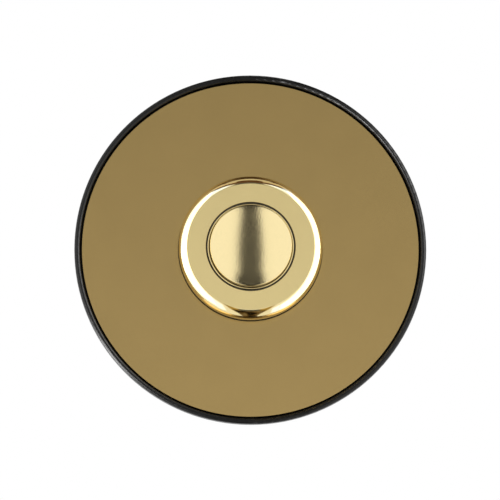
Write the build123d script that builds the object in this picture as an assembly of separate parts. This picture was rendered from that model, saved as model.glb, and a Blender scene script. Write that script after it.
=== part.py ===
from build123d import *
import math
import os

# Doorbell push button for a wall beside a door. Millimetres. Every piece is drawn on the bench, with
# the wall at z = 0, the front at +z and the top of the wall plate at +y, and is then stood up by
# WALL_FRAME: the front faces -Y, up is +Z, and the wall lies in the plane Y = 0.

# Base, whose radii follow from the face plate's
base_taper = 1.6
base_floor = 2.5
cavity_height = 8.0
rim_width = 1.2
rim_above_plate = 0.9
rim_band = 2.0
rim_outer_share = 0.50
rim_inner_share = 0.45
back_edge_round = 0.6
floor_round = 0.8

# Face plate and the seal under its edge
plate_radius = 36.4
plate_thickness = 1.5
plate_edge_break = 0.1
plate_gap = 0.4
seal_thickness = 1.0
seal_width = 1.3
seal_inset = 0.1

# Collar, its washer and the sleeve in its mouth
collar_radius = 15.5
collar_edge_width = 1.78
collar_height = 4.6
collar_edge_start = 20.0
collar_edge_turn = 52.0
collar_shoulder = 0.39
washer_thickness = 0.5
washer_overhang = 0.10
collar_flange = 2.5
spigot_chamfer = 0.4
thread_gap = 0.1
plate_hole_gap = 0.3
groove_width = 0.35
groove_depth = 0.8
sleeve_wall = 0.35
sleeve_length = 5.6
press_gap = 0.02

# Button
button_radius = 8.85
button_gap = 0.14
button_above_collar = 1.5
dome_rise = 2.0
button_edge_round = 0.4
cap_wall = 0.8
cap_roof = 1.1
button_travel = 1.5
stop_gap = 0.1
seat_gap = 0.05
button_play = (0.05, 0.03)

# Plunger and return spring
flange_radius = 10.2
flange_thickness = 1.1
flange_room = 0.6
stem_radius = 2.0
spring_boss_radius = 3.4
pocket_wall = 0.8
pocket_roof = 3.0
spring_radius = 5.3
spring_wire = 0.6
spring_turns = 5

# Switch tower and insulator disc
tower_wall = 2.4
disc_thickness = 1.2
disc_step = 1.1
stem_hole_gap = 0.6
spring_ring_height = 0.8
spring_ring_inside = 3.2
spring_ring_gap = 0.3
strip_slot_width = 7.0
strip_slot_roof = 0.6

# Contacts and terminals
pad_height = 0.5
strip_width = 5.0
strip_thickness = 0.5
leaf_thickness = 0.25
leaf_bend = 1.5
leaf_foot_gap = 0.4
leaf_knee = 8.5
leaf_overhang = 3.0
leaf_room = 0.4
contact_margin = 0.05
tip_radius = 1.2
tip_height = 0.45
tip_crown = 0.15
tip_shank_radius = 0.5
terminal_place = 22.0
terminal_end = 3.2
insert_radius = 2.4
screw_radius = 1.5
screw_length = 3.2
screw_end_gap = 0.15
screw_head_radius = 2.7
screw_head_height = 1.8
screw_slot = 0.8
clamp_length = 6.0
clamp_thickness = 0.8
clamp_lip = 0.6
rivet_radius = 0.85
rivet_length = 2.0
rivet_head_radius = 1.3
rivet_head_height = 0.5
rivet_gap = 0.2
hole_gap = 0.1

# Wall fixings and cable entry
fixing_spacing = 54.0
fixing_hole_radius = 2.25
fixing_head_radius = 4.2
fixing_boss_radius = 5.2
fixing_boss_height = 4.0
cable_hole_radius = 4.0
grommet_bore = 2.5
grommet_flange_radius = 5.2
grommet_front_flange = 1.0
grommet_back_flange = 0.7

# Ribs on the floor and relief pockets in the back
rib_angles = (30, 60, 120, 150, 210, 240, 300, 330)
rib_thickness = 1.2
rib_height = 1.5
relief_angles = (45, 135, 225, 315)
relief_sweep = 54.0
relief_depth = 0.8
relief_inside = 17.5
relief_margin = 2.0

# Heights above the wall, worked out from the sizes above
plate_back = base_floor + cavity_height
plate_face = plate_back + plate_thickness
rim_top = plate_face + rim_above_plate
seal_ledge = plate_back - seal_thickness
collar_back = plate_face + washer_thickness
collar_face = collar_back + collar_height
sleeve_end = collar_face - sleeve_length
flange_top = sleeve_end - stop_gap
flange_back = flange_top - flange_thickness
button_shoulder = collar_face + button_above_collar
cap_ceiling = button_shoulder - cap_roof
plunger_top = cap_ceiling - seat_gap
pocket_top = plunger_top - pocket_roof
pad_top = base_floor + pad_height
strip_top = pad_top + strip_thickness
fixed_tip_top = strip_top + tip_height
moving_tip_end = fixed_tip_top + button_travel + contact_margin
leaf_back = moving_tip_end + tip_height
leaf_top = leaf_back + leaf_thickness
stem_end = leaf_top + seat_gap
disc_back = leaf_top + leaf_room
disc_top = disc_back + disc_thickness
spigot_end = disc_top + stop_gap
insert_length = screw_length - clamp_thickness - leaf_thickness + screw_end_gap

# Radii worked out from the sizes above
recess_radius = plate_radius + plate_gap
base_radius = recess_radius + rim_width
base_back_radius = base_radius - base_taper
rim_outer_round = rim_width * rim_outer_share
rim_inner_round = rim_width * rim_inner_share
base_wall_inside = plate_radius - seal_width - seal_inset
relief_outside = base_wall_inside - relief_margin
collar_flat_radius = collar_radius - collar_edge_width
collar_shoulder_radius = collar_radius - collar_shoulder
spigot_radius = collar_radius - collar_flange
sleeve_inside = button_radius + button_gap
sleeve_outside = sleeve_inside + sleeve_wall
collar_bore = sleeve_outside + press_gap
groove_outside = sleeve_outside + groove_width
spigot_inside = flange_radius + flange_room
tower_inside = spigot_radius + thread_gap
tower_outside = tower_inside + tower_wall
disc_radius = tower_inside - thread_gap
disc_seat_inside = disc_radius - disc_step
plate_hole_radius = spigot_radius + plate_hole_gap
cap_inside = button_radius - cap_wall
plunger_radius = cap_inside - seat_gap
pocket_outside = plunger_radius - pocket_wall
spring_ring_outside = spring_radius - spring_wire / 2 - spring_ring_gap
strip_end = terminal_place + terminal_end
rivet_place = terminal_place - clamp_length / 2 - rivet_gap - rivet_head_radius
leaf_foot = rivet_place - rivet_head_radius - leaf_foot_gap
cable_angle = relief_angles[-1]
cable_reach = (relief_inside + relief_outside) / 2
cable_place = (
    cable_reach * math.cos(math.radians(cable_angle)),
    cable_reach * math.sin(math.radians(cable_angle)),
)

WALL_FRAME = Rot(90, 0, 0)
FROM_BELOW = (Align.CENTER, Align.CENTER, Align.MIN)


def disc(radius, bottom, top, place=(0, 0)):
    """A round solid standing on the height bottom."""
    return Pos(place[0], place[1], bottom) * Cylinder(radius, top - bottom, align=FROM_BELOW)


def ring(inside, outside, bottom, top, place=(0, 0)):
    """A tube between two radii and two heights."""
    return disc(outside, bottom, top, place) - disc(inside, bottom, top, place)


def block(x0, x1, width, bottom, top):
    """A straight bar along x, centred on y = 0."""
    bar = Box(x1 - x0, width, top - bottom, align=(Align.MIN, Align.CENTER, Align.MIN))
    return Pos(x0, 0, bottom) * bar


def turned(points):
    """A solid of revolution about z from the corners of its half section, given as (radius, height)."""
    corners = [(radius, 0, height) for radius, height in points]
    return revolve(make_face(Polyline(*corners, close=True)), Axis.Z)


def section_arc(centre, radius, first, last):
    """An arc of a half section, with angles from the front towards the outside."""
    points = []
    for angle in (first, (first + last) / 2, last):
        points.append((centre[0] + radius * math.sin(angle), 0, centre[1] + radius * math.cos(angle)))
    return ThreePointArc(*points)


def edges_at(solid, radius, height):
    """The round edges of a solid about the z axis with this radius, at this height."""
    return [
        edge
        for edge in solid.edges().filter_by(GeomType.CIRCLE)
        if abs(edge.radius - radius) < 1e-3 and abs(edge.arc_center.Z - height) < 1e-3
    ]


def base_dish():
    """The dish without its inside features: floor, wall, ledge for the seal, and the rounded rim."""
    dish = turned(
        [
            (0, 0),
            (base_back_radius, 0),
            (base_radius, rim_top - rim_band),
            (base_radius, rim_top),
            (recess_radius, rim_top),
            (recess_radius, seal_ledge),
            (base_wall_inside, seal_ledge),
            (base_wall_inside, base_floor),
            (0, base_floor),
        ]
    )
    dish = fillet(edges_at(dish, base_radius, rim_top), rim_outer_round)
    dish = fillet(edges_at(dish, recess_radius, rim_top), rim_inner_round)
    dish = fillet(edges_at(dish, base_back_radius, 0), back_edge_round)
    return fillet(edges_at(dish, base_wall_inside, base_floor), floor_round)


def relief_pocket(angle):
    """One shallow sector pocket in the base's back."""
    arc_out = CenterArc((0, 0), relief_outside, angle - relief_sweep / 2, relief_sweep)
    arc_in = CenterArc((0, 0), relief_inside, angle - relief_sweep / 2, relief_sweep)
    sides = [Line(arc_in @ 0, arc_out @ 0), Line(arc_in @ 1, arc_out @ 1)]
    return extrude(make_face([arc_in, arc_out, *sides]), relief_depth)


def make_base():
    base = base_dish()
    base += ring(disc_seat_inside, tower_outside, base_floor, disc_back)
    base += ring(tower_inside, tower_outside, disc_back, plate_back)
    for angle in rib_angles:
        rib = block(tower_outside - tower_wall / 2, base_wall_inside, rib_thickness,
                    base_floor, base_floor + rib_height)
        base += Rot(0, 0, angle) * rib
    for side in (-1, 1):
        place = (0, side * fixing_spacing / 2)
        base += disc(fixing_boss_radius, base_floor, fixing_boss_height, place)
        slot = block(disc_seat_inside - tower_wall, tower_outside + tower_wall, strip_slot_width,
                     base_floor, disc_back - strip_slot_roof)
        base -= Rot(0, 0, 90 - side * 90) * slot
    base += block(-leaf_overhang, strip_end + hole_gap, strip_slot_width, base_floor, pad_top)
    base += block(-strip_end - hole_gap, -leaf_foot, strip_slot_width, base_floor, pad_top)
    for angle in relief_angles:
        base -= relief_pocket(angle)
    for side in (-1, 1):
        place = (0, side * fixing_spacing / 2)
        base -= disc(fixing_hole_radius, 0, fixing_boss_height, place)
        sink = fixing_head_radius - fixing_hole_radius
        countersink = Cone(fixing_hole_radius, fixing_head_radius, sink, align=FROM_BELOW)
        base -= Pos(place[0], place[1], fixing_boss_height - sink) * countersink
        base -= disc(insert_radius + press_gap, pad_top - insert_length, pad_top, (side * terminal_place, 0))
        base -= disc(rivet_radius + press_gap, strip_top - rivet_length, pad_top, (side * rivet_place, 0))
    return base - disc(cable_hole_radius, 0, base_floor, cable_place)


def make_cable_grommet():
    neck_radius = cable_hole_radius - seat_gap
    grommet = disc(neck_radius, relief_depth, base_floor, cable_place)
    grommet += disc(grommet_flange_radius, base_floor, base_floor + grommet_front_flange, cable_place)
    back = relief_depth - grommet_back_flange
    grommet += disc(grommet_flange_radius, back, relief_depth, cable_place)
    return grommet - disc(grommet_bore, back, base_floor + grommet_front_flange, cable_place)


def make_plate_seal():
    return ring(base_wall_inside + seal_inset, plate_radius, seal_ledge, plate_back)


def make_face_plate():
    plate = ring(plate_hole_radius, plate_radius, plate_back, plate_face)
    return chamfer(edges_at(plate, plate_radius, plate_face), plate_edge_break)


def make_collar_washer():
    return ring(plate_hole_radius, collar_radius + washer_overhang, plate_face, collar_back)


def make_collar():
    """Flat face, edge that falls away in a broad and a tight arc, upright side, and the spigot behind."""
    start = math.radians(collar_edge_start)
    turn = math.radians(collar_edge_turn)
    broad_radius = (collar_shoulder_radius - collar_flat_radius) / (math.sin(turn) - math.sin(start))
    broad_centre = (collar_flat_radius - broad_radius * math.sin(start),
                    collar_face - broad_radius * math.cos(start))
    tight_radius = collar_shoulder / (1 - math.sin(turn))
    tight_centre = (collar_radius - tight_radius,
                    broad_centre[1] + (broad_radius - tight_radius) * math.cos(turn))
    broad_arc = section_arc(broad_centre, broad_radius, start, turn)
    tight_arc = section_arc(tight_centre, tight_radius, turn, math.pi / 2)
    rest = Polyline(
        tight_arc @ 1,
        (collar_radius, 0, collar_back),
        (spigot_radius, 0, collar_back),
        (spigot_radius, 0, spigot_end + spigot_chamfer),
        (spigot_radius - spigot_chamfer, 0, spigot_end),
        (spigot_inside, 0, spigot_end),
        (spigot_inside, 0, sleeve_end),
        (collar_bore, 0, sleeve_end),
        (collar_bore, 0, collar_face - groove_depth),
        (groove_outside, 0, collar_face - groove_depth),
        (groove_outside, 0, collar_face),
        broad_arc @ 0,
    )
    return revolve(make_face([broad_arc, tight_arc, *rest.edges()]), Axis.Z)


def make_guide_sleeve():
    return ring(sleeve_inside, sleeve_outside, sleeve_end, collar_face)


def make_insulator_disc():
    plate = disc(disc_radius, disc_back, disc_top)
    plate += disc(spring_ring_outside, disc_top, disc_top + spring_ring_height)
    plate -= disc(spring_ring_inside, disc_top, disc_top + spring_ring_height)
    return plate - disc(stem_radius + stem_hole_gap, disc_back, disc_top)


def strip_holes(side, bottom, top):
    """The terminal and rivet holes through a contact strip."""
    holes = disc(screw_radius + hole_gap, bottom, top, (side * terminal_place, 0))
    return holes + disc(rivet_radius + hole_gap, bottom, top, (side * rivet_place, 0))


def domed(radius, bottom, shoulder, rise):
    """A round bar whose top is part of a sphere, rising by rise above its shoulder."""
    sphere_radius = (radius**2 + rise**2) / (2 * rise)
    crown = Pos(0, 0, shoulder + rise - sphere_radius) * Sphere(sphere_radius)
    return disc(radius, bottom, shoulder + rise) & crown


def contact_tip(shank_length):
    """A contact point with a domed face at the top and a shank below, its joint at height 0."""
    tip = domed(tip_radius, 0, tip_height - tip_crown, tip_crown)
    return tip + disc(tip_shank_radius, -shank_length, 0)


def make_fixed_contact():
    strip = block(-leaf_overhang, strip_end, strip_width, pad_top, strip_top)
    strip -= strip_holes(1, pad_top, strip_top)
    return strip - disc(tip_shank_radius + press_gap, pad_top, strip_top)


def make_moving_contact():
    """A leaf that lies on its pad, rises into the tower and runs flat over the fixed contact."""
    middle = leaf_thickness / 2
    path = FilletPolyline(
        (-strip_end, pad_top + middle),
        (-leaf_foot, pad_top + middle),
        (-leaf_knee, leaf_back + middle),
        (leaf_overhang, leaf_back + middle),
        radius=leaf_bend,
    )
    leaf = extrude(Plane.XZ * trace(path, line_width=leaf_thickness), strip_width / 2, both=True)
    leaf -= strip_holes(-1, pad_top - leaf_thickness, pad_top + 2 * leaf_thickness)
    return leaf - disc(tip_shank_radius + press_gap, leaf_back - leaf_thickness, leaf_top + leaf_thickness)


def clamp_seat(side):
    """The height of the strip's top at this terminal."""
    return strip_top if side > 0 else pad_top + leaf_thickness


def make_terminal_insert(side):
    place = (side * terminal_place, 0)
    return ring(screw_radius + press_gap, insert_radius, pad_top - insert_length, pad_top, place)


def make_terminal_clamp(side):
    bottom = clamp_seat(side)
    top = bottom + clamp_thickness
    half = clamp_length / 2
    clamp = block(-half, half, strip_slot_width, bottom, top)
    lips = block(-half, half, strip_slot_width, top, top + clamp_lip)
    lips -= block(-half, half, 2 * screw_head_radius + 2 * hole_gap, top, top + clamp_lip)
    clamp = Pos(side * terminal_place, 0, 0) * (clamp + lips)
    return clamp - disc(screw_radius + hole_gap, bottom, top, (side * terminal_place, 0))


def make_terminal_screw(side):
    place = (side * terminal_place, 0)
    seat = clamp_seat(side) + clamp_thickness
    top = seat + screw_head_height
    screw = disc(screw_radius, seat - screw_length, seat, place)
    screw += disc(screw_head_radius, seat, top, place)
    slot = block(-screw_head_radius, screw_head_radius, screw_slot, top - screw_slot, top)
    return screw - Pos(place[0], 0, 0) * slot


def make_contact_rivet(side):
    place = (side * rivet_place, 0)
    seat = clamp_seat(side)
    rivet = disc(rivet_radius, strip_top - rivet_length, seat, place)
    return rivet + disc(rivet_head_radius, seat, seat + rivet_head_height, place)


def make_button_cap():
    """A cup, open behind, with a domed top."""
    cap = domed(button_radius, flange_top, button_shoulder, dome_rise)
    cap = fillet(edges_at(cap, button_radius, button_shoulder), button_edge_round)
    cap -= disc(cap_inside, flange_top, cap_ceiling)
    return Pos(*button_play) * cap


def make_plunger():
    """An insert that fills the cap, with the flange below it, the spring's pocket and the stem."""
    plunger = disc(flange_radius, flange_back, flange_top)
    plunger += disc(plunger_radius, flange_top, plunger_top)
    plunger -= ring(stem_radius, pocket_outside, flange_back, pocket_top)
    plunger += disc(spring_boss_radius, pocket_top - pocket_wall, pocket_top)
    stem = disc(stem_radius, stem_end, pocket_top)
    plunger += fillet(edges_at(stem, stem_radius, stem_end), stem_radius / 2)
    return Pos(*button_play) * plunger


def make_return_spring():
    wire_radius = spring_wire / 2
    bottom = disc_top + wire_radius + seat_gap
    height = pocket_top - wire_radius - seat_gap - bottom
    path = Pos(0, 0, bottom) * Helix(height / spring_turns, height, spring_radius)
    section = Plane(path @ 0, z_dir=path % 0) * Circle(wire_radius)
    return sweep(section, path=path, is_frenet=True)


def make_fixed_contact_tip():
    return Pos(0, 0, strip_top) * contact_tip(strip_thickness)


def make_moving_contact_tip():
    return Pos(0, 0, leaf_back) * Rot(180, 0, 0) * contact_tip(leaf_thickness)


parts = {
    "base": make_base(),
    "cable_grommet": make_cable_grommet(),
    "plate_seal": make_plate_seal(),
    "face_plate": make_face_plate(),
    "collar_washer": make_collar_washer(),
    "collar": make_collar(),
    "guide_sleeve": make_guide_sleeve(),
    "insulator_disc": make_insulator_disc(),
    "fixed_contact": make_fixed_contact(),
    "fixed_contact_tip": make_fixed_contact_tip(),
    "moving_contact": make_moving_contact(),
    "moving_contact_tip": make_moving_contact_tip(),
    "button_cap": make_button_cap(),
    "plunger": make_plunger(),
    "return_spring": make_return_spring(),
}
for name, side in (("left", -1), ("right", 1)):
    parts["terminal_insert_" + name] = make_terminal_insert(side)
    parts["terminal_clamp_" + name] = make_terminal_clamp(side)
    parts["terminal_screw_" + name] = make_terminal_screw(side)
    parts["contact_rivet_" + name] = make_contact_rivet(side)

os.makedirs("parts", exist_ok=True)
for name, solid in parts.items():
    export_step(WALL_FRAME * solid, os.path.join("parts", name + ".step"))
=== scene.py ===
import math

import bmesh
import bpy
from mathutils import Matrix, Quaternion, Vector


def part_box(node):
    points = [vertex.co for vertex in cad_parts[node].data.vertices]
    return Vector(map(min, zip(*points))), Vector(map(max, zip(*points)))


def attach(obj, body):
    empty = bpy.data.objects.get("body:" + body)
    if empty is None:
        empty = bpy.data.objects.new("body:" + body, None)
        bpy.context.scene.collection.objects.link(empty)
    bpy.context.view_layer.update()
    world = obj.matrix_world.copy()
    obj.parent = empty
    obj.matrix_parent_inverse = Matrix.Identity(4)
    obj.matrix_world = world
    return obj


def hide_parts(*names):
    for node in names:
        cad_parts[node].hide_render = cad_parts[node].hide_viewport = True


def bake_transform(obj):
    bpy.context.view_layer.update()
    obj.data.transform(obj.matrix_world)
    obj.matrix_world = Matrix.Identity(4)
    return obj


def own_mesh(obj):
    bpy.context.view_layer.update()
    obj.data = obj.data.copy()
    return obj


# Doorbell push button, dressed for its portrait. Metres, in the part's own frame: the wall is the
# plane Y = 0, the front faces -Y and up is +Z. Heights are distances from the wall, towards the front.

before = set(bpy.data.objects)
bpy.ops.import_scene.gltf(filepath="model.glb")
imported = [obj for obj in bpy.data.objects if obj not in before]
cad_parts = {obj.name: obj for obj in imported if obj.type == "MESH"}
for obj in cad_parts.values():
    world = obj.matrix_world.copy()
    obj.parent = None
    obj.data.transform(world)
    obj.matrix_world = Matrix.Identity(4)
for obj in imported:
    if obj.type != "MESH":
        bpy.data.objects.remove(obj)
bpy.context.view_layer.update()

MM = 0.001

# Turned pieces
SEGMENTS = 288
ROUND_STEPS = 8
SHARP_ANGLE = math.radians(14)
FINE_BREAK = 0.05 * MM
SOFT_ROUND = 0.2 * MM
FLAT_MARGIN = 0.02 * MM
ON_AXIS = 1e-6 * MM

# Face plate
plate_hole_radius = 13.3 * MM
plate_edge_round = 0.1 * MM

# Collar and sleeve
collar_edge_width = 1.78 * MM
collar_edge_start = math.radians(20)
collar_edge_turn = math.radians(52)
collar_edge_steps = 20
collar_shoulder = 0.39 * MM
flat_edge_round = 0.3 * MM
spigot_radius = 13.0 * MM
spigot_inside = 10.8 * MM
spigot_chamfer = 0.4 * MM
groove_width = 0.35 * MM
groove_depth = 0.8 * MM
sleeve_wall = 0.35 * MM
sleeve_mouth_round = 0.15 * MM
press_gap = 0.02 * MM

# Button
dome_rise = 2.0 * MM
dome_steps = 48
button_edge_round = 0.4 * MM
cap_wall = 0.8 * MM
cap_roof = 1.1 * MM

# Seal and grommet
seal_width = 1.3 * MM
grommet_bore = 2.5 * MM
grommet_neck = 3.95 * MM
grommet_back_flange = 0.7 * MM
grommet_front_flange = 1.0 * MM

# Spring and leaf
spring_wire = 0.6 * MM
spring_turns = 5
spring_steps = 56
wire_sides = 14
leaf_foot = 15.8 * MM
leaf_cuts = 24
leaf_weld = 0.001 * MM

# Camera, from the photograph's 500 x 500 frame
PHOTO_SIZE = 500
RIM_CENTRE = (250.28, 249.98)
RIM_HALF_WIDTH = 175.97
CAMERA_AZIMUTH = math.radians(-1.0)
CAMERA_ELEVATION = math.radians(-8.0)
CAMERA_DISTANCE = 2.5
SENSOR_WIDTH = 36.0
CLIP_RATIO = 100
rim_widest = 11.5 * MM


def node_radius(node):
    """Half the width of a CAD node."""
    low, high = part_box(node)
    return (high.x - low.x) / 2


def node_heights(node):
    """Distances of a CAD node's back and front from the wall."""
    low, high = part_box(node)
    return -high.y, -low.y


def node_axis(node):
    """Where a CAD node's turning axis stands, as (x, z)."""
    low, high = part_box(node)
    return (low.x + high.x) / 2, (low.z + high.z) / 2


# Turned meshes


def rounded(corners):
    """Points of a closed half section, whose corners are (radius, height, rounding).

    A narrow band beside each rounding keeps the flat beyond it shaded flat.
    """
    points = []
    count = len(corners)
    for index, (radius, height, rounding) in enumerate(corners):
        here = Vector((radius, height))
        if rounding == 0:
            points.append(here)
            continue
        before = (Vector(corners[index - 1][:2]) - here).normalized()
        after = (Vector(corners[(index + 1) % count][:2]) - here).normalized()
        half_angle = before.angle(after) / 2
        reach = rounding / math.tan(half_angle)
        centre = here + (before + after).normalized() * rounding / math.sin(half_angle)
        first = here + before * reach - centre
        last = here + after * reach - centre
        points.append(here + before * (reach + FLAT_MARGIN))
        for step in range(ROUND_STEPS + 1):
            swing = first.slerp(last, step / ROUND_STEPS)
            points.append(centre + swing.normalized() * rounding)
        points.append(here + after * (reach + FLAT_MARGIN))
    return points


def arc(centre, radius, start, end, steps):
    """Corners along an arc, with angles from the front direction towards the outside."""
    corners = []
    for step in range(steps + 1):
        angle = start + (end - start) * step / steps
        corners.append((centre[0] + radius * math.sin(angle), centre[1] + radius * math.cos(angle), 0))
    return corners


def mark_sharp(bm):
    """Smooth shading everywhere, broken at real corners."""
    for face in bm.faces:
        face.smooth = True
    for edge in bm.edges:
        if edge.is_manifold:
            edge.smooth = edge.calc_face_angle() < SHARP_ANGLE


def make_object(name, bm, materials):
    mesh = bpy.data.meshes.new(name)
    bm.to_mesh(mesh)
    bm.free()
    for material in materials:
        mesh.materials.append(material)
    piece = bpy.data.objects.new(name, mesh)
    bpy.context.scene.collection.objects.link(piece)
    return piece


def lathe(name, section, materials, axis=(0, 0), pick=None):
    """A turned mesh from a closed half section; pick(radius, height) chooses the material of a band."""
    bm = bmesh.new()
    rings = []
    for radius, height in section:
        if radius < ON_AXIS:
            rings.append([bm.verts.new((axis[0], -height, axis[1]))])
            continue
        ring = []
        for step in range(SEGMENTS):
            angle = 2 * math.pi * step / SEGMENTS
            place = (axis[0] + radius * math.cos(angle), -height, axis[1] + radius * math.sin(angle))
            ring.append(bm.verts.new(place))
        rings.append(ring)
    for index, ring in enumerate(rings):
        following = rings[(index + 1) % len(rings)]
        if len(ring) == 1 and len(following) == 1:
            continue
        middle = (section[index] + section[(index + 1) % len(rings)]) / 2
        slot = materials.index(pick(*middle)) if pick else 0
        for step in range(SEGMENTS):
            turn = (step + 1) % SEGMENTS
            corners = [ring[step % len(ring)], ring[turn % len(ring)],
                       following[turn % len(following)], following[step % len(following)]]
            face = bm.faces.new(list(dict.fromkeys(corners)))
            face.material_index = slot
    bmesh.ops.recalc_face_normals(bm, faces=bm.faces)
    mark_sharp(bm)
    return make_object(name, bm, materials)


def stand_in(piece, node, body):
    """The piece takes the place of a CAD node and moves with its body."""
    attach(piece, body)
    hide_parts(node)
    return piece


# Materials

# Most values of a noise lie in this range
NOISE_LOW = 0.3
NOISE_HIGH = 0.7


class Finish:
    """A metal, plastic or rubber whose colour, roughness and relief come from its nodes."""

    def __init__(self, name):
        self.material = bpy.data.materials.new(name)
        self.material.use_nodes = True
        self.tree = self.material.node_tree
        self.shader = self.tree.nodes["Principled BSDF"]
        self.place = self.tree.nodes.new("ShaderNodeTexCoord").outputs["Object"]

    def join(self, start, end):
        self.tree.links.new(start, end)

    def stretched(self, scale):
        """Object coordinates stretched by a factor along each axis."""
        mapping = self.tree.nodes.new("ShaderNodeMapping")
        mapping.inputs["Scale"].default_value = scale
        self.join(self.place, mapping.inputs["Vector"])
        return mapping.outputs["Vector"]

    def noise(self, grain, *, detail=4.0, roughness=0.5, place=None):
        """A noise whose blots are about one grain across."""
        node = self.tree.nodes.new("ShaderNodeTexNoise")
        node.inputs["Scale"].default_value = 1 / grain
        node.inputs["Detail"].default_value = detail
        node.inputs["Roughness"].default_value = roughness
        self.join(place or self.place, node.inputs["Vector"])
        return node.outputs["Fac"]

    def turning_marks(self, pitch):
        """Fine rings about the part's own axis, as a lathe leaves them."""
        split = self.tree.nodes.new("ShaderNodeSeparateXYZ")
        self.join(self.place, split.inputs["Vector"])
        level = self.tree.nodes.new("ShaderNodeCombineXYZ")
        self.join(split.outputs["X"], level.inputs["X"])
        self.join(split.outputs["Z"], level.inputs["Y"])
        reach = self.tree.nodes.new("ShaderNodeVectorMath")
        reach.operation = "LENGTH"
        self.join(level.outputs["Vector"], reach.inputs[0])
        rings = self.tree.nodes.new("ShaderNodeCombineXYZ")
        self.join(reach.outputs["Value"], rings.inputs["X"])
        self.join(split.outputs["Y"], rings.inputs["Y"])
        return self.noise(pitch, detail=2.0, roughness=0.6, place=rings.outputs["Vector"])

    def between(self, factor, low, high):
        """Maps a noise's middle range onto values from low to high."""
        node = self.tree.nodes.new("ShaderNodeMapRange")
        node.inputs["From Min"].default_value = NOISE_LOW
        node.inputs["From Max"].default_value = NOISE_HIGH
        node.inputs["To Min"].default_value = low
        node.inputs["To Max"].default_value = high
        self.join(factor, node.inputs["Value"])
        return node.outputs["Result"]

    def colours(self, factor, low, high):
        """Blends two colours by a noise, into the shader's base colour."""
        node = self.tree.nodes.new("ShaderNodeValToRGB")
        node.color_ramp.elements[0].position = NOISE_LOW
        node.color_ramp.elements[0].color = (*low, 1)
        node.color_ramp.elements[1].position = NOISE_HIGH
        node.color_ramp.elements[1].color = (*high, 1)
        self.join(factor, node.inputs["Fac"])
        self.join(node.outputs["Color"], self.shader.inputs["Base Color"])

    def rough(self, factor, low, high):
        self.join(self.between(factor, low, high), self.shader.inputs["Roughness"])

    def relief(self, *layers):
        """Bumps from (height, depth) pairs, laid over each other."""
        normal = None
        for height, depth in layers:
            bump = self.tree.nodes.new("ShaderNodeBump")
            bump.inputs["Distance"].default_value = depth
            self.join(height, bump.inputs["Height"])
            if normal:
                self.join(normal, bump.inputs["Normal"])
            normal = bump.outputs["Normal"]
        self.join(normal, self.shader.inputs["Normal"])

    def metal(self):
        self.shader.inputs["Metallic"].default_value = 1.0


def plate_finish():
    """Satin-lacquered brown-gold brass."""
    finish = Finish("satin_plate")
    finish.metal()
    cloud = finish.noise(9 * MM, detail=3.0)
    grain = finish.noise(0.35 * MM, detail=6.0, roughness=0.6)
    finish.colours(cloud, (0.385, 0.270, 0.103), (0.399, 0.280, 0.107))
    finish.rough(grain, 0.20, 0.26)
    finish.relief((finish.noise(0.12 * MM, detail=3.0), 0.0006 * MM))
    return finish.material


def collar_face_finish():
    """Pale satin-lacquered brass of the collar's flat."""
    finish = Finish("satin_collar_face")
    finish.metal()
    cloud = finish.noise(5 * MM, detail=3.0)
    finish.colours(cloud, (0.755, 0.608, 0.284), (0.775, 0.625, 0.292))
    finish.rough(finish.noise(0.3 * MM, detail=5.0), 0.19, 0.25)
    finish.relief((finish.turning_marks(0.05 * MM), 0.0004 * MM))
    return finish.material


def polished_finish(name, low, high):
    """Mirror-polished brass with hairline wiping marks."""
    finish = Finish(name)
    finish.metal()
    finish.colours(finish.noise(3 * MM, detail=3.0), low, high)
    finish.rough(finish.noise(0.6 * MM, detail=5.0), 0.07, 0.11)
    finish.relief((finish.turning_marks(0.03 * MM), 0.00008 * MM))
    return finish.material


def groove_shade_finish():
    """Brass painted dark, as the shade in the narrow groove between the collar and the sleeve."""
    finish = Finish("painted_groove_shade")
    finish.metal()
    finish.colours(finish.noise(0.8 * MM, detail=5.0), (0.100, 0.085, 0.055), (0.170, 0.145, 0.095))
    finish.rough(finish.noise(0.3 * MM), 0.45, 0.60)
    return finish.material


def button_finish():
    """Bead-blasted brass, whose grain shows where bright meets dark."""
    finish = Finish("blasted_brass")
    finish.metal()
    grain = finish.noise(0.35 * MM, detail=3.0, roughness=0.6)
    finish.colours(grain, (0.627, 0.522, 0.283), (0.667, 0.555, 0.301))
    finish.rough(grain, 0.13, 0.21)
    finish.relief((grain, 0.02 * MM))
    return finish.material


def skirt_finish():
    """Brass rubbed dull by the sleeve."""
    finish = Finish("rubbed_brass")
    finish.metal()
    finish.colours(finish.noise(1.5 * MM), (0.58, 0.48, 0.255), (0.64, 0.53, 0.285))
    rubbing = finish.noise(0.2 * MM, roughness=0.6, place=finish.stretched((1, 0.1, 1)))
    finish.rough(rubbing, 0.45, 0.60)
    finish.relief((finish.noise(0.08 * MM, detail=3.0), 0.001 * MM))
    return finish.material


def moulding_finish():
    """Black moulded plastic with a fine grain and rubbed, glossier patches."""
    finish = Finish("black_moulding")
    cloud = finish.noise(4 * MM, detail=5.0)
    finish.colours(cloud, (0.0066, 0.0063, 0.0056), (0.0094, 0.0090, 0.0080))
    finish.shader.inputs["Specular IOR Level"].default_value = 0.22
    finish.rough(finish.noise(2.2 * MM, detail=6.0, roughness=0.65), 0.24, 0.34)
    fine_grain = finish.noise(0.10 * MM, detail=2.0)
    ripples = finish.noise(1.6 * MM, detail=2.0)
    finish.relief((fine_grain, 0.0012 * MM), (ripples, 0.004 * MM))
    return finish.material


def rubber_finish():
    """Black moulded rubber."""
    finish = Finish("black_rubber")
    cloud = finish.noise(1.5 * MM, detail=6.0, roughness=0.7)
    finish.colours(cloud, (0.016, 0.016, 0.016), (0.030, 0.030, 0.029))
    finish.rough(finish.noise(0.8 * MM, detail=5.0), 0.62, 0.78)
    finish.relief((finish.noise(0.09 * MM, detail=3.0), 0.004 * MM))
    return finish.material


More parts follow.
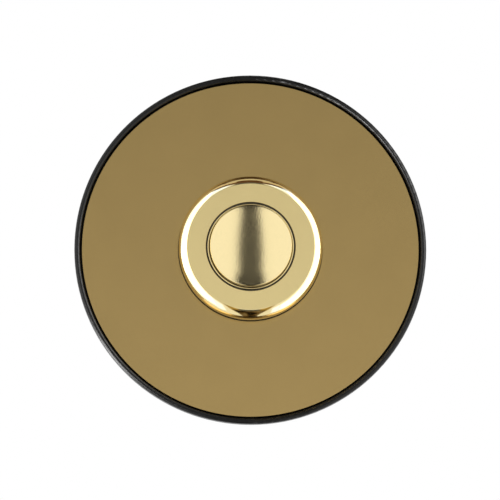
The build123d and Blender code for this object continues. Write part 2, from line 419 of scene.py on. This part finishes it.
def fibre_finish():
    """Dark pressed fibre, with its hairs lying flat."""
    finish = Finish("dark_fibre")
    hairs = finish.noise(0.18 * MM, detail=6.0, roughness=0.7, place=finish.stretched((1, 4, 2.5)))
    finish.colours(hairs, (0.006, 0.004, 0.002), (0.018, 0.012, 0.006))
    finish.shader.inputs["Specular IOR Level"].default_value = 0.12
    finish.rough(hairs, 0.65, 0.85)
    finish.relief((hairs, 0.008 * MM))
    return finish.material


def insulator_finish():
    """Brown paper laminate, with its layers showing at the edge."""
    finish = Finish("brown_laminate")
    layers = finish.noise(0.5 * MM, detail=5.0, roughness=0.6, place=finish.stretched((1, 7, 1)))
    finish.colours(layers, (0.105, 0.045, 0.018), (0.190, 0.088, 0.036))
    finish.rough(finish.noise(0.6 * MM), 0.34, 0.50)
    finish.relief((layers, 0.003 * MM))
    return finish.material


def nylon_finish():
    """Milky moulded nylon."""
    finish = Finish("milky_nylon")
    cloud = finish.noise(3 * MM, detail=5.0, roughness=0.6)
    finish.colours(cloud, (0.66, 0.63, 0.55), (0.74, 0.72, 0.65))
    finish.shader.inputs["Subsurface Weight"].default_value = 0.15
    finish.shader.inputs["Subsurface Radius"].default_value = (0.8 * MM, 0.7 * MM, 0.6 * MM)
    finish.rough(cloud, 0.36, 0.50)
    finish.relief((finish.noise(0.15 * MM, detail=3.0), 0.0015 * MM))
    return finish.material


def rolled_finish(name, low, high):
    """Rolled metal strip: marks along its length and a little tarnish."""
    finish = Finish(name)
    finish.metal()
    marks = finish.noise(0.12 * MM, roughness=0.6, place=finish.stretched((0.08, 1, 1)))
    finish.colours(finish.noise(2.5 * MM, detail=6.0, roughness=0.65), low, high)
    finish.rough(marks, 0.22, 0.38)
    finish.relief((marks, 0.0012 * MM))
    return finish.material


def silver_finish():
    """Silver contact metal, dulled where it sparks."""
    finish = Finish("contact_silver")
    finish.metal()
    stain = finish.noise(0.5 * MM, detail=6.0, roughness=0.7)
    finish.colours(stain, (0.62, 0.60, 0.56), (0.86, 0.85, 0.82))
    finish.rough(stain, 0.38, 0.20)
    finish.relief((finish.noise(0.06 * MM, detail=3.0), 0.001 * MM))
    return finish.material


def steel_finish():
    """Zinc-plated steel."""
    finish = Finish("plated_steel")
    finish.metal()
    spangle = finish.noise(0.7 * MM, detail=5.0, roughness=0.6)
    finish.colours(spangle, (0.46, 0.47, 0.48), (0.60, 0.61, 0.62))
    finish.rough(spangle, 0.24, 0.36)
    finish.relief((finish.noise(0.08 * MM), 0.0012 * MM))
    return finish.material


collar_face = collar_face_finish()
collar_edge = polished_finish("polished_brass", (0.86, 0.71, 0.36), (0.90, 0.75, 0.40))
# The polished brass again, painted darker as shade, for the sleeve
sleeve_brass_painted_dark = polished_finish("sleeve_brass_painted_dark", (0.62, 0.51, 0.26), (0.66, 0.54, 0.28))
# Painted shade for the groove between the collar and the sleeve
groove = groove_shade_finish()
skirt = skirt_finish()
finishes = {
    "moulding": moulding_finish(),
    "plate_brass": plate_finish(),
    "collar_brass": collar_edge,
    "button_brass": button_finish(),
    "contact_brass": rolled_finish("rolled_brass", (0.52, 0.36, 0.13), (0.66, 0.48, 0.19)),
    "bronze": rolled_finish("spring_bronze", (0.44, 0.25, 0.12), (0.58, 0.35, 0.18)),
    "silver": silver_finish(),
    "steel": steel_finish(),
    "nylon": nylon_finish(),
    "insulator": insulator_finish(),
    "rubber": rubber_finish(),
    "fibre": fibre_finish(),
}

# Every CAD node takes the finish of the slot that its own material names
slots = {}
for name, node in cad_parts.items():
    slots[name] = node.data.materials[0].name
    node.data.materials[0] = finishes[slots[name]]


# Pieces


def make_face_plate():
    outside = node_radius("face_plate")
    back, face = node_heights("face_plate")
    section = rounded([
        (plate_hole_radius, back, FINE_BREAK),
        (outside, back, FINE_BREAK),
        (outside, face, plate_edge_round),
        (plate_hole_radius, face, FINE_BREAK),
    ])
    return lathe("front_plate", section, [finishes["plate_brass"]])


def make_collar():
    """Flat satin face, and a polished edge that falls away in a broad and then a tight arc."""
    outside = node_radius("collar")
    spigot_end, face = node_heights("collar")
    sleeve_end = node_heights("guide_sleeve")[0]
    back = node_heights("collar_washer")[1]
    bore = node_radius("guide_sleeve") + press_gap
    groove_outside = node_radius("guide_sleeve") + groove_width
    flat_radius = outside - collar_edge_width
    start, turn = collar_edge_start, collar_edge_turn
    broad_radius = (outside - collar_shoulder - flat_radius) / (math.sin(turn) - math.sin(start))
    broad_centre = (flat_radius - broad_radius * math.sin(start), face - broad_radius * math.cos(start))
    tight_radius = collar_shoulder / (1 - math.sin(turn))
    tight_height = broad_centre[1] + (broad_radius - tight_radius) * math.cos(turn)
    broad_arc = arc(broad_centre, broad_radius, start, turn, collar_edge_steps)
    tight_centre = (outside - tight_radius, tight_height)
    tight_arc = arc(tight_centre, tight_radius, turn, math.pi / 2, collar_edge_steps)
    section = rounded([
        (groove_outside, face - groove_depth, 0),
        (groove_outside, face, FINE_BREAK),
        (flat_radius, face, flat_edge_round),
        *broad_arc[1:],
        *tight_arc[1:],
        (outside, back, FINE_BREAK),
        (spigot_radius, back, 0),
        (spigot_radius, spigot_end + spigot_chamfer, 0),
        (spigot_radius - spigot_chamfer, spigot_end, 0),
        (spigot_inside, spigot_end, FINE_BREAK),
        (spigot_inside, sleeve_end, 0),
        (bore, sleeve_end, 0),
        (bore, face - groove_depth, 0),
    ])

    def finish_of(radius, height):
        # The groove's walls take the painted shade
        if radius < groove_outside + press_gap and sleeve_end < height < face - FINE_BREAK:
            return groove
        on_flat = height > face - FINE_BREAK / 2 and radius < flat_radius
        return collar_face if on_flat else collar_edge

    return lathe("collar_ring", section, [collar_edge, collar_face, groove], pick=finish_of)


def make_guide_sleeve():
    """A thin tube with a rounded mouth."""
    outside = node_radius("guide_sleeve")
    back, face = node_heights("guide_sleeve")
    inside = outside - sleeve_wall
    section = rounded([
        (inside, back, FINE_BREAK),
        (outside, back, FINE_BREAK),
        (outside, face, sleeve_mouth_round),
        (inside, face, sleeve_mouth_round),
    ])

    def finish_of(radius, height):
        # The sleeve's outside, down in the groove, takes the painted shade
        in_groove = radius > outside - press_gap and height < face - sleeve_mouth_round
        # Elsewhere the sleeve takes the polished brass painted darker as shade
        return groove if in_groove else sleeve_brass_painted_dark

    return lathe("sleeve_tube", section, [sleeve_brass_painted_dark, groove], pick=finish_of)


def make_button_cap():
    """A cup, open behind, with a domed top."""
    outside = node_radius("button_cap")
    back, top = node_heights("button_cap")
    shoulder = top - dome_rise
    sphere_radius = (outside**2 + dome_rise**2) / (2 * dome_rise)
    dome_end = math.asin((outside - button_edge_round) / sphere_radius)
    inside = outside - cap_wall
    ceiling = shoulder - cap_roof
    section = rounded([
        *arc((0, top - sphere_radius), sphere_radius, 0, dome_end, dome_steps),
        (outside, shoulder, button_edge_round),
        (outside, back, FINE_BREAK),
        (inside, back, FINE_BREAK),
        (inside, ceiling, 0),
        (0, ceiling, 0),
    ])

    dome = finishes["button_brass"]

    def finish_of(radius, height):
        return skirt if height < shoulder - button_edge_round else dome

    return lathe("push_dome", section, [dome, skirt], node_axis("button_cap"), finish_of)


def make_plain_ring(name, node, inside, rounding):
    """A flat ring with rounded corners, in the place of a CAD ring."""
    outside = node_radius(node)
    back, front = node_heights(node)
    corners = [(inside, back), (outside, back), (outside, front), (inside, front)]
    section = rounded([(*corner, rounding) for corner in corners])
    return lathe(name, section, [finishes[slots[node]]])


def make_cable_grommet():
    flange = node_radius("cable_grommet")
    back, front = node_heights("cable_grommet")
    section = rounded([
        (grommet_bore, back, SOFT_ROUND),
        (flange, back, SOFT_ROUND),
        (flange, back + grommet_back_flange, SOFT_ROUND),
        (grommet_neck, back + grommet_back_flange, 0),
        (grommet_neck, front - grommet_front_flange, 0),
        (flange, front - grommet_front_flange, SOFT_ROUND),
        (flange, front, SOFT_ROUND),
        (grommet_bore, front, SOFT_ROUND),
    ])
    return lathe("cable_bush", section, [finishes["rubber"]], node_axis("cable_grommet"))


def make_return_spring():
    """A coil of round wire, closed by a flat disc at each end of the wire."""
    wire = spring_wire / 2
    coil = node_radius("return_spring") - wire
    back, front = node_heights("return_spring")
    start = back + wire
    climb = front - wire - start
    bm = bmesh.new()
    rings = []
    count = spring_turns * spring_steps
    for step in range(count + 1):
        turn = 2 * math.pi * spring_turns * step / count
        outward = Vector((math.cos(turn), 0, math.sin(turn)))
        forward = Vector((0, -1, 0))
        middle = outward * coil + forward * (start + climb * step / count)
        ring = []
        for side in range(wire_sides):
            angle = 2 * math.pi * side / wire_sides
            spoke = outward * math.cos(angle) + forward * math.sin(angle)
            ring.append(bm.verts.new(middle + spoke * wire))
        rings.append(ring)
    for ring, following in zip(rings, rings[1:]):
        for side in range(wire_sides):
            turn = (side + 1) % wire_sides
            bm.faces.new((ring[side], ring[turn], following[turn], following[side]))
    bm.faces.new(rings[0])
    bm.faces.new(rings[-1])
    bmesh.ops.recalc_face_normals(bm, faces=bm.faces)
    mark_sharp(bm)
    return make_object("coil_spring", bm, [finishes["steel"]])


def make_contact_leaf():
    """The leaf's own shape, cut across into short lengths."""
    bm = bmesh.new()
    bm.from_mesh(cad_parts["moving_contact"].data)
    bmesh.ops.remove_doubles(bm, verts=bm.verts, dist=leaf_weld)
    for cut in range(1, leaf_cuts):
        place = -leaf_foot + leaf_foot * cut / leaf_cuts
        everything = [*bm.verts, *bm.edges, *bm.faces]
        bmesh.ops.bisect_plane(bm, geom=everything, plane_co=(place, 0, 0), plane_no=(1, 0, 0))
    mark_sharp(bm)
    return make_object("contact_leaf", bm, [finishes["bronze"]])


plate = stand_in(make_face_plate(), "face_plate", "housing")
collar = stand_in(make_collar(), "collar", "housing")
sleeve = stand_in(make_guide_sleeve(), "guide_sleeve", "housing")
stand_in(make_plain_ring("fibre_washer", "collar_washer", plate_hole_radius, FINE_BREAK),
         "collar_washer", "housing")
stand_in(make_plain_ring("rubber_seal", "plate_seal", node_radius("plate_seal") - seal_width, SOFT_ROUND),
         "plate_seal", "housing")
stand_in(make_cable_grommet(), "cable_grommet", "housing")
stand_in(make_button_cap(), "button_cap", "button")

spring = make_return_spring()
stand_in(spring, "return_spring", "housing")
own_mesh(spring)

leaf = make_contact_leaf()
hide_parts("moving_contact")
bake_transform(leaf)


# Studio. Lights are radiances, and a reach is a distance from the part's axis or middle plane.

# Tall soft panels, one on each side, and the world's fill
panel_reach = 0.5
panel_front = 1.9
panel_behind = 1.5
panel_top = 2.4
panel_bottom = -1.1
panel_light = 0.5
ambient = 0.6

# Leaning lamps beside the collar, dimmer and cooler at their ends:
# rows of (name, side, middle y, middle z, width, length, lean in degrees, light, colour)
WHITE = (1, 1, 1)
COOL = (0.25, 0.45, 1.0)
edge_reach = 0.47
edge_lamps = (
    ("right_top", 1, -0.62, 1.20, 0.44, 1.50, 38, 1.2, COOL),
    ("right_upper", 1, -0.22, 0.36, 0.50, 0.90, 28, 1.6, WHITE),
    ("right_lower", 1, -0.20, -0.34, 0.70, 1.00, -16, 1.6, WHITE),
    ("right_foot", 1, -0.40, -1.02, 0.80, 0.36, -16, 1.2, COOL),
    ("left_top", -1, -0.74, 1.20, 0.44, 1.50, -38, 1.2, COOL),
    ("left_upper", -1, -0.30, 0.30, 0.54, 1.00, -18, 1.6, WHITE),
    ("left_lower", -1, -0.34, -0.24, 0.66, 0.80, 22, 1.6, WHITE),
    ("left_foot", -1, -0.50, -0.80, 0.80, 0.40, 22, 1.2, COOL),
)

# Low lamps near the wall, which the plate mirrors towards the collar's edge
wall_lamp_reach = 0.46
wall_lamp_front = 1.05
wall_lamp_behind = 0.02
wall_lamp_bottom = -1.50
wall_lamp_top = -0.45
wall_lamp_light = 2.4

# Lamps that only put highlights on the base's rim: one low at the left, and one at the right
rim_reach = 0.49
rim_left_turn = math.radians(212)
rim_left_front = 0.9
rim_left_behind = 0.15
rim_left_width = 0.14
rim_left_light = 23.0
rim_right_front = 0.7
rim_right_behind = -0.15
rim_right_bottom = 0.0
rim_right_top = 0.7
rim_right_light = 6.0

# Lamp that the flat faces mirror, in rows from its foot to its head
front_distance = 0.9
front_width = 0.38
front_foot = -0.64
front_row = 0.14
front_lights = (0.72, 0.72, 0.72, 0.72, 1.04, 0.71, 0.30)

# Dark gap between the panels, in front of the part:
# rows of (elevation in degrees, half width as a share of the distance at that elevation)
flag_distance = 2.8
flag_shade = 0.12
flag_rows = ((-50, 0.264), (-26, 0.2534), (8, 0.243), (38, 0.182), (48, 0.163), (58, 0.147))

# Cards overhead: a dark one and a paler strip below it, both in rows of (y, half width),
# and on each side a pale wing and a dark border, both with corners as (x, y)
overhead_height = 1.0
overhead_shade = (0.120, 0.058, 0.026)
overhead_rows = ((-0.66, 0.17), (-0.20, 0.17), (-0.04, 0.30), (0.146, 0.40), (0.4, 0.45))
strip_rows = ((-0.20, 0.30), (0.07, 0.30))
strip_drop = 0.01
strip_shade = (0.62, 0.56, 0.46)
wing_rise = 0.01
wing_corners = ((0.17, -0.47), (0.62, -0.12), (0.84, -0.10), (1.35, 0.19), (1.35, 0.90), (0.17, 0.90))
wing_shade = (0.70, 0.58, 0.44)
border_drop = 0.02
border_corners = ((0.15, -0.70), (0.66, -0.19), (0.66, -0.05), (0.15, -0.38))

# Dark card below, in rows of (y, half width), with long blots from near black to brown
low_flag_depth = 1.4
low_flag_rows = ((-1.3, 0.442), (-1.1, 0.44), (-0.456, 0.269), (0.052, 0.175), (0.3, 0.15))
blot_width = 0.15
blot_length = 0.9
low_flag_stops = (
    (0.40, (0.008, 0.005, 0.002)),
    (0.55, (0.15, 0.09, 0.03)),
    (0.70, (0.26, 0.21, 0.14)),
)

# Amber cards low at each side, with corners as (y, z)
amber_reach = 0.45
amber_corners = ((-1.32, -0.70), (-1.0, -1.24), (-0.76, -2.34), (-3.4, -2.14), (-1.883, -1.08))
amber_shade = (0.446, 0.305, 0.084)

# Floor, and the lamp that lights it alone
FLOOR_HEIGHT = -0.5
FLOOR_HALF = 20.0
fade_near = 0.6
fade_far = 2.5
floor_colour = (0.80, 0.80, 0.79)
floor_lamp_height = 3.0
floor_lamp_size = 8.0
floor_lamp_light = 0.55

# Direction from the part to the camera
camera_level = math.cos(CAMERA_ELEVATION)
camera_back = Vector((
    math.sin(CAMERA_AZIMUTH) * camera_level,
    -math.cos(CAMERA_AZIMUTH) * camera_level,
    math.sin(CAMERA_ELEVATION),
))


class Glow:
    """A stage material that shines evenly, unless more is joined in."""

    def __init__(self, name, strength=1.0, colour=WHITE):
        self.material = bpy.data.materials.new(name)
        self.material.use_nodes = True
        self.tree = self.material.node_tree
        self.tree.nodes.clear()
        self.output = self.tree.nodes.new("ShaderNodeOutputMaterial")
        self.light = self.tree.nodes.new("ShaderNodeEmission")
        self.light.inputs["Color"].default_value = (*colour, 1)
        self.light.inputs["Strength"].default_value = strength
        self.place = self.tree.nodes.new("ShaderNodeTexCoord").outputs["Object"]
        self.join(self.light.outputs["Emission"], self.output.inputs["Surface"])

    def join(self, start, end):
        self.tree.links.new(start, end)

    def blots(self, width, length, stops):
        """Colour in soft blots, long along y, from three stops of (position, colour)."""
        mapping = self.tree.nodes.new("ShaderNodeMapping")
        mapping.inputs["Scale"].default_value = (1 / width, 1 / length, 1 / width)
        self.join(self.place, mapping.inputs["Vector"])
        noise = self.tree.nodes.new("ShaderNodeTexNoise")
        noise.inputs["Scale"].default_value = 1.0
        self.join(mapping.outputs["Vector"], noise.inputs["Vector"])
        ramp = self.tree.nodes.new("ShaderNodeValToRGB")
        elements = ramp.color_ramp.elements
        elements.new(stops[1][0])
        for element, (position, colour) in zip(elements, stops):
            element.position = position
            element.color = (*colour, 1)
        self.join(noise.outputs["Fac"], ramp.inputs["Fac"])
        self.join(ramp.outputs["Color"], self.light.inputs["Color"])


def receivers(name, pieces, state="INCLUDE"):
    """The pieces that a lamp or card shines on or, with EXCLUDE, leaves out."""
    group = bpy.data.collections.new(name)
    for piece in pieces:
        group.objects.link(piece)
    for entry in group.collection_objects:
        entry.light_linking.link_state = state
    return group


def stage_card(name, corners, glow, lit=None):
    """A flat card that shows in reflections alone, neither lighting nor shading the object."""
    mesh = bpy.data.meshes.new(name)
    mesh.from_pydata(corners, [], [tuple(range(len(corners)))])
    mesh.materials.append(glow.material)
    card = bpy.data.objects.new(name, mesh)
    bpy.context.scene.collection.objects.link(card)
    for kind in ("camera", "diffuse", "transmission", "volume_scatter", "shadow"):
        setattr(card, "visible_" + kind, False)
    card.light_linking.receiver_collection = lit


def level_card(name, rows, height, glow, lit=None):
    """A level card symmetric about x = 0, from rows of (y, half width)."""
    left = [(-half, y, height) for y, half in rows]
    right = [(half, y, height) for y, half in rows]
    stage_card(name, left + right[::-1], glow, lit)


def flat_lamp(name, middle, facing, width, height, radiance, lit=None, lean=0.0, colour=WHITE):
    """A lamp that looks along facing, with its width level unless it leans."""
    lamp = bpy.data.lights.new(name, "AREA")
    lamp.shape = "RECTANGLE"
    lamp.size = width
    lamp.size_y = height
    lamp.energy = radiance * width * height * math.pi
    lamp.color = colour
    lamp_object = bpy.data.objects.new(name, lamp)
    lamp_object.location = middle
    lamp_object.rotation_mode = "QUATERNION"
    lamp_object.rotation_quaternion = facing.to_track_quat("-Z", "Y") @ Quaternion((0, 0, 1), lean)
    lamp_object.visible_camera = False
    lamp_object.light_linking.receiver_collection = lit
    bpy.context.scene.collection.objects.link(lamp_object)
    return lamp_object


def upright_lamp(name, x, front, behind, bottom, top, radiance, lit=None):
    """A lamp that stands at x, from y = -front to y = behind."""
    middle = (x, (behind - front) / 2, (bottom + top) / 2)
    return flat_lamp(name, middle, Vector((-x, 0, 0)), front + behind, top - bottom, radiance, lit)


def make_lamps():
    """A soft panel on each side. The collar, the plate and the floor have lamps of their own instead."""
    others = receivers("all_but_metal_and_floor", [collar, plate, floor], "EXCLUDE")
    flat_lamp("floor_lamp", (0, 0, floor_lamp_height), Vector((0, 0, -1)), floor_lamp_size, floor_lamp_size,
              floor_lamp_light, receivers("lit_floor", [floor]))
    on_collar = receivers("lit_collar", [collar])
    on_plate = receivers("lit_plate", [plate])
    for name, side in (("left", -1), ("right", 1)):
        upright_lamp("panel_" + name, side * panel_reach, panel_front, panel_behind,
                     panel_bottom, panel_top, panel_light, others)
        upright_lamp("wall_lamp_" + name, side * wall_lamp_reach, wall_lamp_front, wall_lamp_behind,
                     wall_lamp_bottom, wall_lamp_top, wall_lamp_light, on_plate)
    for name, side, y, z, width, length, lean, light, colour in edge_lamps:
        flat_lamp("edge_lamp_" + name, (side * edge_reach, y, z), Vector((-side, 0, 0)), width, length,
                  light, on_collar, math.radians(lean), colour)


def make_rim_lamps():
    """Lamps that the base's gloss mirrors, and that add nothing to its diffuse colour."""
    on_base = receivers("lit_base", [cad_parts["base"]])
    right = upright_lamp("rim_lamp_right", rim_reach, rim_right_front, rim_right_behind,
                         rim_right_bottom, rim_right_top, rim_right_light, on_base)
    middle = Vector((math.cos(rim_left_turn), 0, math.sin(rim_left_turn))) * rim_reach
    middle.y = (rim_left_behind - rim_left_front) / 2
    inward = -Vector((middle.x, 0, middle.z))
    left = flat_lamp("rim_lamp_left", middle, inward, rim_left_front + rim_left_behind, rim_left_width,
                     rim_left_light, on_base)
    for lamp in (left, right):
        lamp.visible_diffuse = False


def make_front_lamp():
    """The lamp that the flat faces mirror. It shines on them alone, so the dome keeps its dark band."""
    flat_faces = receivers("flat_faces", [plate, collar, sleeve])
    middle = Vector((-camera_back.x, camera_back.y, 0)) * front_distance
    for row, light in enumerate(front_lights):
        middle.z = front_foot + front_row * (row + 0.5)
        flat_lamp("front_lamp_%d" % row, middle, Vector((0, 1, 0)), front_width, front_row,
                  light, flat_faces)


def make_flags():
    """The dark gap between the panels, with coloured cards that the bright metal alone mirrors."""
    left = []
    right = []
    for degrees, half in flag_rows:
        angle = math.radians(degrees)
        reach = flag_distance * half / math.cos(angle)
        left.append((-reach, -flag_distance, flag_distance * math.tan(angle)))
        right.append((reach, -flag_distance, flag_distance * math.tan(angle)))
    stage_card("front_flag", left + right[::-1], Glow("front_shade", flag_shade))
    overhead = Glow("overhead_shade", 1.0, overhead_shade)
    level_card("overhead_flag", overhead_rows, overhead_height, overhead, bright_metal)
    strip = Glow("strip_glow", 1.0, strip_shade)
    level_card("overhead_strip", strip_rows, overhead_height - strip_drop, strip, bright_metal)
    wing = Glow("wing_glow", 1.0, wing_shade)
    low_shade = Glow("low_shade")
    low_shade.blots(blot_width, blot_length, low_flag_stops)
    level_card("low_flag", low_flag_rows, -low_flag_depth, low_shade, bright_metal)
    amber = Glow("amber_glow", 1.0, amber_shade)
    for name, side in (("left", -1), ("right", 1)):
        corners = [(side * amber_reach, y, z) for y, z in amber_corners]
        stage_card("amber_card_" + name, corners, amber, bright_metal)
        corners = [(side * x, y, overhead_height + wing_rise) for x, y in wing_corners]
        stage_card("overhead_wing_" + name, corners, wing, bright_metal)
        corners = [(side * x, y, overhead_height - border_drop) for x, y in border_corners]
        stage_card("overhead_border_" + name, corners, overhead, bright_metal)


def make_floor():
    """A pale floor that keeps the object's shadow and turns white far from it."""
    glow = Glow("pale_floor")
    surface = glow.tree.nodes.new("ShaderNodeBsdfDiffuse")
    surface.inputs["Color"].default_value = (*floor_colour, 1)
    reach = glow.tree.nodes.new("ShaderNodeVectorMath")
    reach.operation = "LENGTH"
    fade = glow.tree.nodes.new("ShaderNodeMapRange")
    fade.interpolation_type = "SMOOTHSTEP"
    fade.inputs["From Min"].default_value = fade_near
    fade.inputs["From Max"].default_value = fade_far
    blend = glow.tree.nodes.new("ShaderNodeMixShader")
    glow.join(glow.place, reach.inputs[0])
    glow.join(reach.outputs["Value"], fade.inputs["Value"])
    glow.join(fade.outputs["Result"], blend.inputs["Fac"])
    glow.join(surface.outputs["BSDF"], blend.inputs[1])
    glow.join(glow.light.outputs["Emission"], blend.inputs[2])
    glow.join(blend.outputs["Shader"], glow.output.inputs["Surface"])
    mesh = bpy.data.meshes.new("floor")
    corners = [(x * FLOOR_HALF, y * FLOOR_HALF, 0) for x, y in ((-1, -1), (1, -1), (1, 1), (-1, 1))]
    mesh.from_pydata(corners, [], [(0, 1, 2, 3)])
    mesh.materials.append(glow.material)
    floor = bpy.data.objects.new("floor", mesh)
    floor.location = (0, 0, FLOOR_HEIGHT)
    floor.visible_glossy = False
    floor.visible_shadow = False
    bpy.context.scene.collection.objects.link(floor)
    return floor


def make_world():
    """White to the camera and to reflections, and a soft fill for everything else."""
    world = bpy.data.worlds.new("studio")
    world.use_nodes = True
    world.cycles.sampling_method = "NONE"
    tree = world.node_tree
    tree.nodes.clear()
    output = tree.nodes.new("ShaderNodeOutputWorld")
    path = tree.nodes.new("ShaderNodeLightPath")
    seen = path.outputs["Is Camera Ray"]
    for kind in ("Is Glossy Ray", "Is Transmission Ray"):
        either = tree.nodes.new("ShaderNodeMath")
        either.operation = "MAXIMUM"
        tree.links.new(seen, either.inputs[0])
        tree.links.new(path.outputs[kind], either.inputs[1])
        seen = either.outputs["Value"]
    fill = tree.nodes.new("ShaderNodeBackground")
    fill.inputs["Color"].default_value = (*WHITE, 1)
    fill.inputs["Strength"].default_value = ambient
    white = tree.nodes.new("ShaderNodeBackground")
    white.inputs["Color"].default_value = (*WHITE, 1)
    blend = tree.nodes.new("ShaderNodeMixShader")
    tree.links.new(seen, blend.inputs["Fac"])
    tree.links.new(fill.outputs["Background"], blend.inputs[1])
    tree.links.new(white.outputs["Background"], blend.inputs[2])
    tree.links.new(blend.outputs["Shader"], output.inputs["Surface"])
    bpy.context.scene.world = world


def make_camera():
    """Slightly below and left of the part's axis, framed so that the rim falls where the photo has it."""
    pixels = RIM_HALF_WIDTH / node_radius("base")
    turn = (-camera_back).to_track_quat("-Z", "Y")
    off_centre = Vector((PHOTO_SIZE / 2 - RIM_CENTRE[0], RIM_CENTRE[1] - PHOTO_SIZE / 2, 0)) / pixels
    target = Vector((0, -rim_widest, 0)) + turn @ off_centre
    camera_data = bpy.data.cameras.new("camera")
    camera_data.sensor_width = SENSOR_WIDTH
    camera_data.lens = pixels * CAMERA_DISTANCE * SENSOR_WIDTH / PHOTO_SIZE
    camera_data.clip_start = CAMERA_DISTANCE / CLIP_RATIO
    camera_data.clip_end = CAMERA_DISTANCE * CLIP_RATIO
    camera = bpy.data.objects.new("camera", camera_data)
    camera.location = target + camera_back * CAMERA_DISTANCE
    camera.rotation_mode = "QUATERNION"
    camera.rotation_quaternion = turn
    bpy.context.scene.collection.objects.link(camera)
    bpy.context.scene.camera = camera


bright_metal = receivers("bright_metal", [collar, plate])
floor = make_floor()
make_lamps()
make_rim_lamps()
make_front_lamp()
make_flags()
make_world()
make_camera()
bpy.context.scene.view_settings.view_transform = "Standard"
